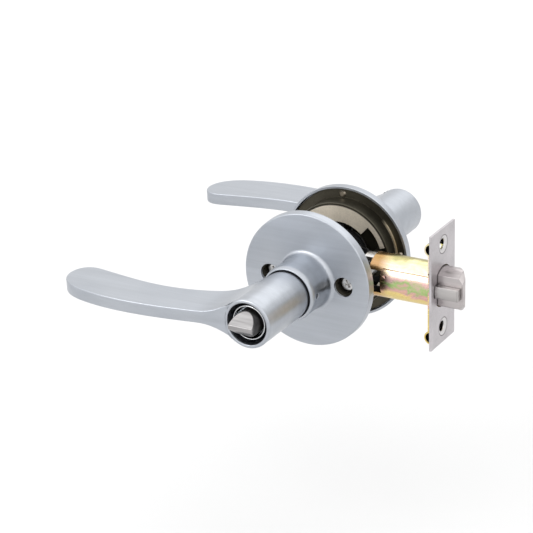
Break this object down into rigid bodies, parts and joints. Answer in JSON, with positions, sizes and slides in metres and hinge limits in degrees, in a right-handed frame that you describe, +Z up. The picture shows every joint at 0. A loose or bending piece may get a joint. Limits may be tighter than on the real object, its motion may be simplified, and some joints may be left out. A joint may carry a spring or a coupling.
{
  "type": "door lever lockset",
  "caption": "Entrance lever lockset: two sprung levers on round roses with a turn button inside, driving a 60 mm backset spring latch with deadlatch plunger.",
  "frame": {"origin": "on the spindle axis, at the middle of the door's thickness", "axes": "+X along the latch towards its faceplate, +Y along the spindle towards the outside lever, +Z up; levers point to -X"},
  "size_m": [0.1767, 0.1672, 0.066],
  "materials": {
    "satin_chrome": "satin chrome, fine brushing",
    "dark_steel": "dark olive phosphate, low sheen",
    "zinc_plate": "matt beige zinc",
    "rivet_steel": "dull zinc",
    "bright_steel": "bright zinc",
    "spring_steel": "drawn wire",
    "yellow_zinc": "yellow zinc with rainbow tints",
    "stainless": "brushed stainless",
    "black_steel": "black phosphate",
    "bright_chrome": "polished chrome",
    "satin_nickel": "satin nickel",
    "brass": "machined brass"
  },
  "bodies": {
    "chassis": {"inside_rose": "satin_chrome", "outside_rose": "satin_chrome", "inside_cassette": "dark_steel", "outside_cassette": "dark_steel", "inside_cover_plate": "zinc_plate", "outside_cover_plate": "zinc_plate", "inside_rose_rivets": "rivet_steel", "outside_rose_rivets": "rivet_steel", "threaded_posts": "bright_steel", "through_bolts": "bright_steel", "inside_return_spring": "spring_steel", "outside_return_spring": "spring_steel", "latch_tube": "yellow_zinc", "latch_tail_guide": "bright_steel", "faceplate": "stainless", "backing_plate": "yellow_zinc", "spring_anchor": "bright_steel", "bolt_spring": "spring_steel"},
    "inside_lever": {"inside_lever_handle": "satin_chrome", "inside_drive_hub": "black_steel", "inside_circlip": "black_steel", "spindle": "bright_steel", "retractor_cam": "black_steel", "button_bezel": "bright_chrome", "inside_catch_spring": "spring_steel"},
    "outside_lever": {"outside_lever_handle": "satin_chrome", "outside_drive_hub": "black_steel", "outside_circlip": "black_steel", "key_cylinder": "satin_nickel", "driver_pins": "bright_steel", "outside_catch_spring": "spring_steel"},
    "turn_button": {"turn_button": "satin_nickel", "locking_bar": "bright_steel"},
    "inside_catch": {"inside_lever_catch": "bright_steel"},
    "outside_catch": {"outside_lever_catch": "bright_steel"},
    "latch_bolt": {"latch_bolt": "satin_nickel", "retractor_yoke": "black_steel", "plunger_spring": "spring_steel"},
    "deadlatch_plunger": {"deadlatch_plunger": "satin_nickel"},
    "key_plug": {"key_plug": "brass", "key_pins": "brass"}
  },
  "joints": [
    {"name": "inside_lever_turn", "type": "hinge", "parent": "chassis", "child": "inside_lever", "pos_m": [0, 0, 0], "axis": [0, -1, 0], "range_deg": [0, 45], "stiffness_Nm_per_rad": 0.8, "springref_deg": -34.38, "deforming": ["inside_return_spring"]},
    {"name": "outside_lever_turn", "type": "hinge", "parent": "chassis", "child": "outside_lever", "pos_m": [0, 0, 0], "axis": [0, -1, 0], "range_deg": [0, 45], "stiffness_Nm_per_rad": 0.8, "springref_deg": -34.38, "deforming": ["outside_return_spring"]},
    {"name": "turn_button_turn", "type": "hinge", "parent": "inside_lever", "child": "turn_button", "pos_m": [0, 0, 0], "axis": [0, -1, 0], "range_deg": [0, 90]},
    {"name": "key_plug_turn", "type": "hinge", "parent": "outside_lever", "child": "key_plug", "pos_m": [0, 0, 0], "axis": [0, -1, 0], "range_deg": [0, 90]},
    {"name": "latch_retract", "type": "slide", "parent": "chassis", "child": "latch_bolt", "axis": [-1, 0, 0], "range_m": [0, 0.0127], "stiffness_N_per_m": 300, "springref_m": -0.012, "deforming": ["bolt_spring"]},
    {"name": "plunger_press", "type": "slide", "parent": "latch_bolt", "child": "deadlatch_plunger", "axis": [-1, 0, 0], "range_m": [0, 0.009], "stiffness_N_per_m": 120, "springref_m": -0.006, "deforming": ["plunger_spring"]},
    {"name": "inside_catch_press", "type": "slide", "parent": "inside_lever", "child": "inside_catch", "axis": [-1, 0, 0], "range_m": [0, 0.0018], "stiffness_N_per_m": 400, "springref_m": -0.003, "deforming": ["inside_catch_spring"]},
    {"name": "outside_catch_press", "type": "slide", "parent": "outside_lever", "child": "outside_catch", "axis": [-1, 0, 0], "range_m": [0, 0.0018], "stiffness_N_per_m": 400, "springref_m": -0.003, "deforming": ["outside_catch_spring"]}
  ],
  "couplings": [
    {"joint": "outside_lever_turn", "follows": "inside_lever_turn", "ratio": 1},
    {"joint": "latch_retract", "follows": "inside_lever_turn", "m_per_rad": 0.0159}
  ]
}
